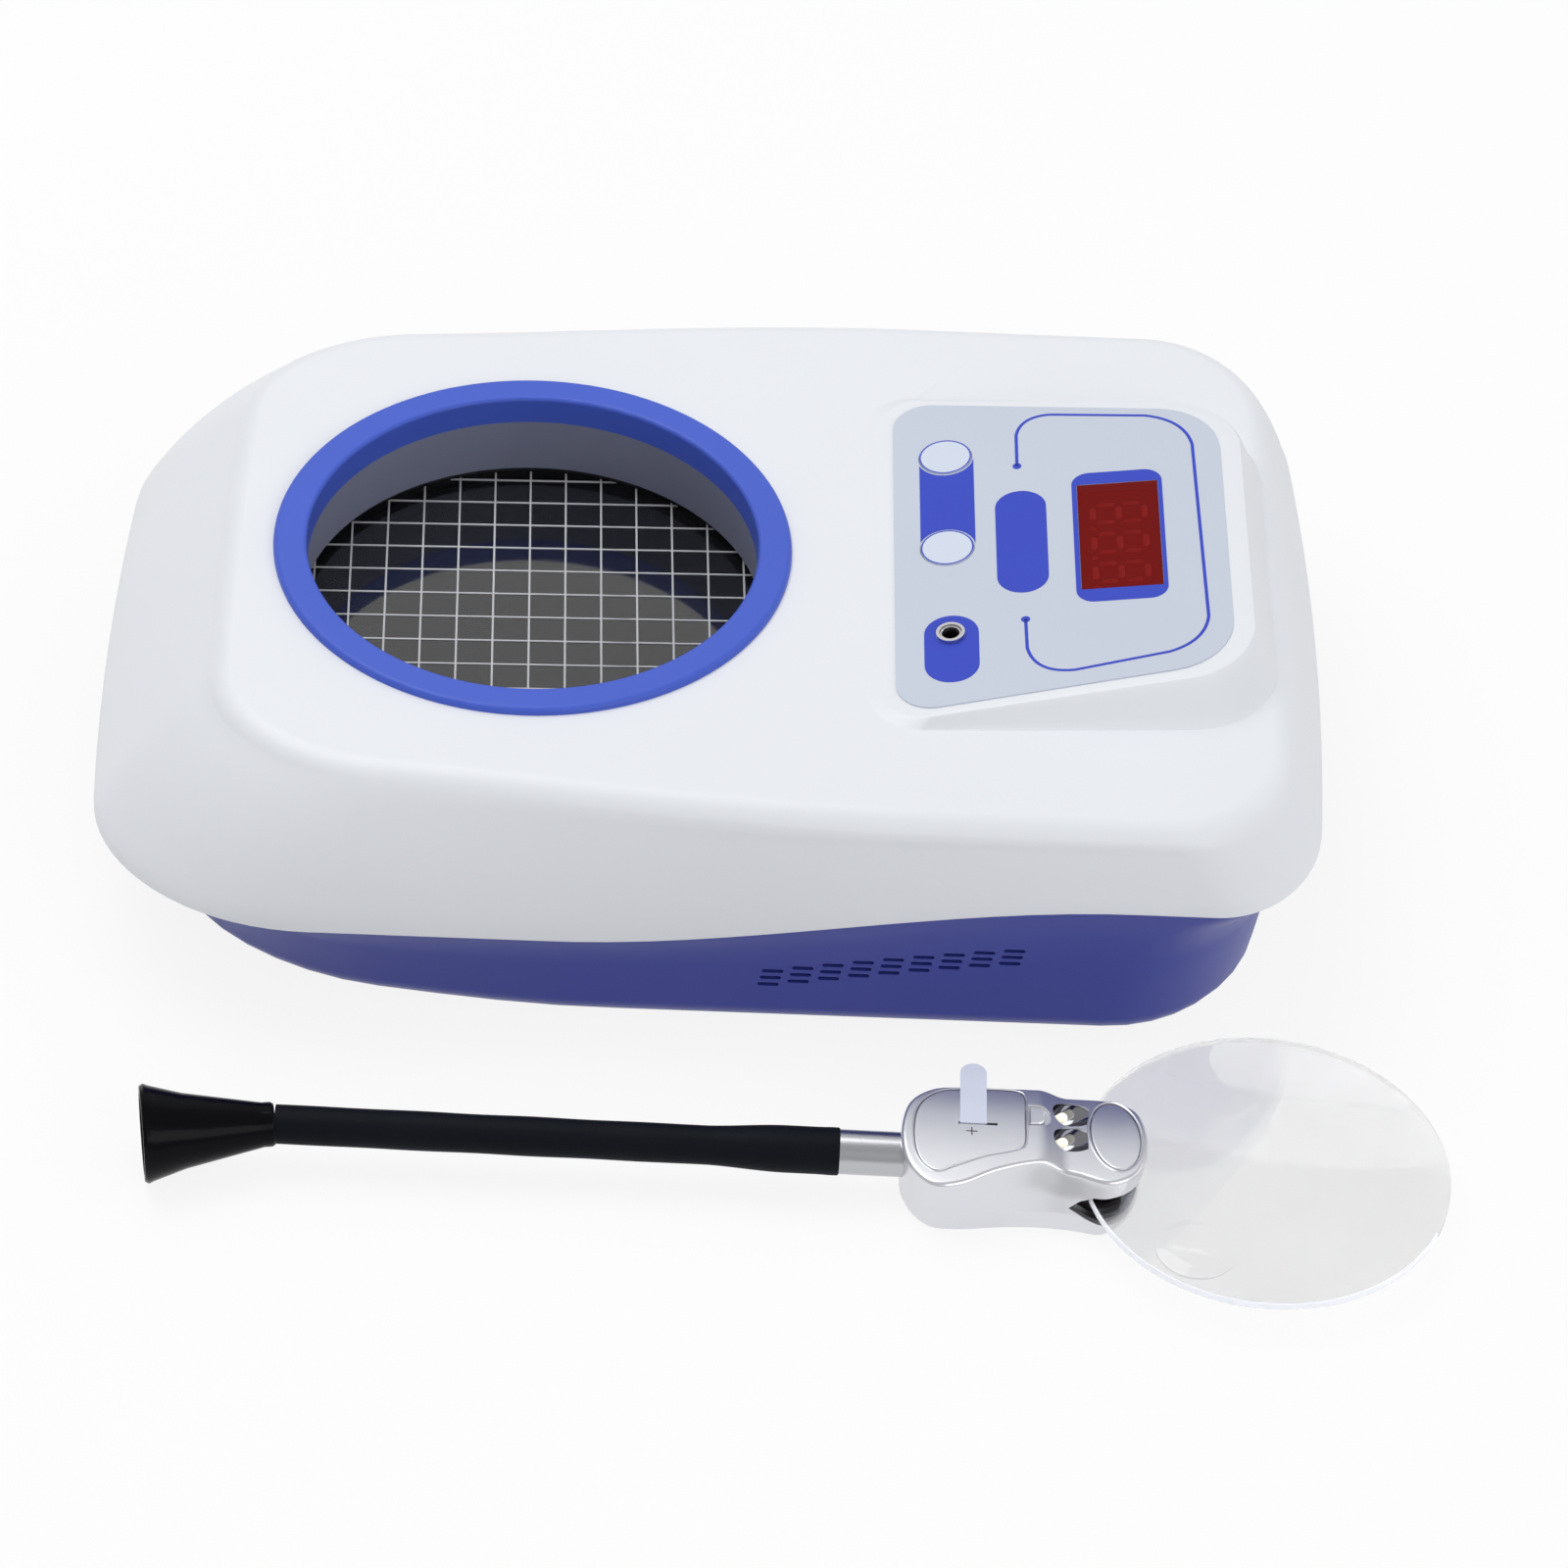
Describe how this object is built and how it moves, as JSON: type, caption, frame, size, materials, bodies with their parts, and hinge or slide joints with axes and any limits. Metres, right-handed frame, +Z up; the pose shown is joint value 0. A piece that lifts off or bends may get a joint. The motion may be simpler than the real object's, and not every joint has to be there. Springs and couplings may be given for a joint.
{
  "type": "colony counter",
  "caption": "Bench counter with a lit, gridded glass well, a digital display panel and a separate lamp magnifier on a flexible neck.",
  "frame": {"origin": "middle of the set's footprint, at table height", "axes": "+X from the user's end towards the display end, +Y away from the magnifier, +Z up"},
  "size_m": [0.366, 0.3168, 0.0971],
  "materials": {
    "housing_blue": "fine satin moulded plastic",
    "housing_white": "fine satin moulded plastic",
    "ring_blue": "satin moulded plastic",
    "diffuser": "frosted",
    "lamps": "satin",
    "stage_glass": "polished",
    "grid_print": "matt ink",
    "black_plate": "polished",
    "black_plastic": "satin",
    "screw_steel": "bright",
    "overlay": "fine matt film",
    "red_window": "polished",
    "digit_red": "satin",
    "display_case": "satin",
    "circuit_board": "satin",
    "key_white": "fine matt film",
    "nickel": "bright",
    "iron_core": "varnished",
    "contact_brass": "bright",
    "rubber": "matt",
    "gloss_black": "polished",
    "sleeve_black": "matt",
    "tube_steel": "polished",
    "silver_plastic": "silver painted",
    "tab_film": "clear film",
    "cell_steel": "bright",
    "led_clear": "polished",
    "lens_clear": "polished",
    "clamp_dark": "satin"
  },
  "bodies": {
    "instrument": {"base_shell": "housing_blue", "top_cover": "housing_white", "well_ring": "ring_blue", "light_diffuser": "diffuser", "lamp_strip": "lamps", "stage_glass": "stage_glass", "counting_grid": "grid_print", "backing_plate": "black_plate", "stage_tray": "black_plastic", "tray_screws": "screw_steel", "panel_overlay": "overlay", "display_window": "red_window", "display_module": "display_case", "display_digits": "digit_red", "control_board": "circuit_board", "key_switches": "black_plastic", "probe_jack": "nickel", "jack_nut": "nickel", "beeper": "black_plastic", "board_screws": "screw_steel", "main_board": "circuit_board", "transformer": "iron_core", "power_inlet": "black_plastic", "inlet_pins": "contact_brass", "switch_body": "black_plastic", "rubber_feet": "rubber", "case_screws": "screw_steel"},
    "check_key": {"check_key": "key_white"},
    "reset_key": {"reset_key": "key_white"},
    "power_rocker": {"power_rocker": "gloss_black"},
    "fuse_drawer": {"fuse_drawer": "black_plastic"},
    "foot": {"neck_foot": "gloss_black", "foot_insert": "contact_brass", "neck_stub": "sleeve_black"},
    "neck_1": {"neck_link_1": "sleeve_black"},
    "neck_2": {"neck_link_2": "sleeve_black"},
    "battery_door": {"battery_door": "silver_plastic", "pull_tab": "tab_film"},
    "light_button": {"light_button": "silver_plastic"},
    "head": {"neck_link_3": "sleeve_black", "support_tube": "tube_steel", "head_base": "silver_plastic", "head_cover": "silver_plastic", "button_cells": "cell_steel", "battery_springs": "contact_brass", "head_board": "circuit_board", "head_leds": "led_clear", "lens_clamp": "clamp_dark", "lens": "lens_clear", "head_screws": "screw_steel"}
  },
  "joints": [
    {"name": "check_key_press", "type": "slide", "parent": "instrument", "child": "check_key", "axis": [0.1392, 0, -0.9903], "range_m": [0, 0.0005], "stiffness_N_per_m": 250, "springref_m": -0.001},
    {"name": "reset_key_press", "type": "slide", "parent": "instrument", "child": "reset_key", "axis": [0.1392, 0, -0.9903], "range_m": [0, 0.0005], "stiffness_N_per_m": 250, "springref_m": -0.001},
    {"name": "power_rocker_tilt", "type": "hinge", "parent": "instrument", "child": "power_rocker", "pos_m": [0.13244, 0.06987, 0.0275], "axis": [0, 1, 0], "range_deg": [-24, 0]},
    {"name": "fuse_drawer_slide", "type": "slide", "parent": "instrument", "child": "fuse_drawer", "axis": [1, 0, 0], "range_m": [0, 0.012]},
    {"name": "magnifier_lift", "type": "slide", "parent": "instrument", "child": "foot", "axis": [0, 0, 1], "range_m": [0, 0.1]},
    {"name": "neck_bend_1", "type": "hinge", "parent": "foot", "child": "neck_1", "pos_m": [-0.10108, -0.10936, 0.01315], "axis": [-0.0173, -0.9901, -0.1392], "range_deg": [0, 25]},
    {"name": "neck_bend_2", "type": "hinge", "parent": "neck_1", "child": "neck_2", "pos_m": [-0.06771, -0.10994, 0.01315], "axis": [-0.0173, -0.9901, -0.1392], "range_deg": [0, 25]},
    {"name": "neck_bend_3", "type": "hinge", "parent": "neck_2", "child": "head", "pos_m": [-0.03434, -0.11053, 0.01315], "axis": [-0.0173, -0.9901, -0.1392], "range_deg": [0, 25]},
    {"name": "battery_door_lift", "type": "slide", "parent": "head", "child": "battery_door", "axis": [0, 0, 1], "range_m": [0, 0.012]},
    {"name": "light_button_press", "type": "slide", "parent": "head", "child": "light_button", "axis": [0, 0, -1], "range_m": [0, 0.0006], "stiffness_N_per_m": 250, "springref_m": -0.001}
  ]
}
